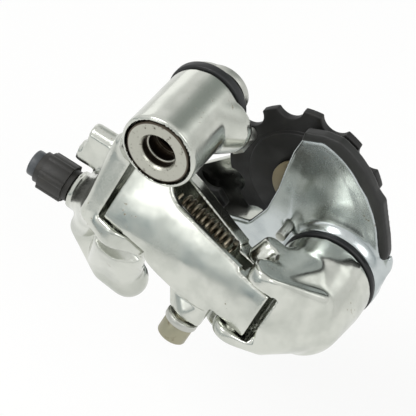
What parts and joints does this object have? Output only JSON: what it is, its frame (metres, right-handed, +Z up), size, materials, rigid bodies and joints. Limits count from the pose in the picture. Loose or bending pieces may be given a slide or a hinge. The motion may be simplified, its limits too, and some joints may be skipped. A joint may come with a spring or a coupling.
{
  "type": "rear bicycle derailleur",
  "caption": "Short-cage rear bicycle derailleur with a slant parallelogram, two sprung knuckles, a cable adjuster and two toothed pulleys on a swinging cage.",
  "frame": {"origin": "on the hanger bolt's axis, in the plane where the stop plate seats on the frame's hanger", "axes": "+X forwards along the bicycle, +Y inboard towards the wheel and along the hanger bolt's thread, +Z up"},
  "size_m": [0.0989, 0.0527, 0.0866],
  "materials": {
    "polished_aluminium": "polished",
    "satin_steel": "satin",
    "bolt_alloy": "satin",
    "anchor_steel": "satin",
    "dark_steel": "satin",
    "grimy_spring_steel": "satin",
    "bronze": "matte",
    "black_rubber": "matte",
    "black_resin": "satin",
    "black_guard": "satin",
    "cap_resin": "matte"
  },
  "bodies": {
    "hanger_side": {"hanger_bolt": "bolt_alloy", "stop_plate": "satin_steel"},
    "upper_knuckle": {"upper_knuckle": "polished_aluminium", "upper_bush": "bronze", "upper_seal": "black_rubber", "upper_spring": "dark_steel", "upper_link_pins": "dark_steel"},
    "adjuster": {"cable_adjuster": "black_resin", "adjuster_tip": "satin_steel"},
    "high_screw": {"limit_screw_high": "satin_steel"},
    "low_screw": {"limit_screw_low": "satin_steel"},
    "angle_screw": {"angle_screw": "satin_steel"},
    "outer_link": {"outer_link": "polished_aluminium", "anchor_bolt": "anchor_steel", "anchor_washer": "satin_steel", "return_spring": "grimy_spring_steel"},
    "inner_link": {"inner_link": "polished_aluminium"},
    "lower_knuckle": {"lower_knuckle": "polished_aluminium", "lower_link_pins": "dark_steel", "lower_seal": "black_rubber", "cage_spring": "dark_steel", "cage_bush": "bronze"},
    "cage": {"cage_axle": "satin_steel", "axle_clip": "dark_steel", "cage_stop_pin": "satin_steel", "cage_outer_plate": "polished_aluminium", "cage_guard": "black_guard", "cage_inner_plate": "satin_steel", "guide_bush": "cap_resin", "guide_caps": "cap_resin", "bearing_inner_race": "satin_steel", "tension_caps": "cap_resin", "pulley_bolts": "satin_steel"},
    "guide_pulley": {"guide_pulley": "black_resin"},
    "tension_pulley": {"tension_pulley": "black_resin", "bearing_outer_race": "satin_steel", "bearing_balls": "satin_steel"}
  },
  "joints": [
    {"name": "knuckle_pivot", "type": "hinge", "parent": "hanger_side", "child": "upper_knuckle", "pos_m": [0, 0, 0], "axis": [0, -1, 0], "range_deg": [0, 16], "stiffness_Nm_per_rad": 0.6, "springref_deg": -34.38},
    {"name": "adjuster_turn", "type": "hinge", "parent": "upper_knuckle", "child": "adjuster", "pos_m": [-0.0364, -0.01, -0.0374], "axis": [-0.9598, 0, 0.2807], "continuous": true},
    {"name": "high_screw_turn", "type": "hinge", "parent": "upper_knuckle", "child": "high_screw", "pos_m": [-0.0328, -0.0057, -0.02038], "axis": [-0.9598, 0, 0.2807], "continuous": true},
    {"name": "low_screw_turn", "type": "hinge", "parent": "upper_knuckle", "child": "low_screw", "pos_m": [-0.0363, -0.0064, -0.0264], "axis": [-0.9598, 0, 0.2807], "continuous": true},
    {"name": "angle_screw_turn", "type": "hinge", "parent": "hanger_side", "child": "angle_screw", "pos_m": [0.0069, 0.0022, -0.01195], "axis": [0.866, 0, 0.5], "continuous": true},
    {"name": "outer_swing", "type": "hinge", "parent": "upper_knuckle", "child": "outer_link", "pos_m": [-0.01141, -0.01654, -0.02315], "axis": [0.3628, 0.3616, 0.8588], "range_deg": [0, 58], "stiffness_Nm_per_rad": 0.25, "springref_deg": -40.11},
    {"name": "inner_swing", "type": "hinge", "parent": "upper_knuckle", "child": "inner_link", "pos_m": [-0.01699, -0.00395, -0.02609], "axis": [0.3628, 0.3616, 0.8588], "range_deg": [0, 58]},
    {"name": "lower_swing", "type": "hinge", "parent": "outer_link", "child": "lower_knuckle", "pos_m": [0.02312, -0.02508, -0.04112], "axis": [0.3628, 0.3616, 0.8588], "range_deg": [-58, 0]},
    {"name": "cage_pivot", "type": "hinge", "parent": "lower_knuckle", "child": "cage", "pos_m": [0.0324, 0.0025, -0.0478], "axis": [0, -1, 0], "range_deg": [0, 130], "stiffness_Nm_per_rad": 0.25, "springref_deg": -51.57},
    {"name": "guide_spin", "type": "hinge", "parent": "cage", "child": "guide_pulley", "pos_m": [0.0205, 0.012, -0.02719], "axis": [0, 1, 0], "continuous": true},
    {"name": "tension_spin", "type": "hinge", "parent": "cage", "child": "tension_pulley", "pos_m": [-0.02143, 0.012, -0.05442], "axis": [0, 1, 0], "continuous": true}
  ],
  "couplings": [
    {"joint": "inner_swing", "follows": "outer_swing", "ratio": 1},
    {"joint": "lower_swing", "follows": "outer_swing", "ratio": -1}
  ]
}
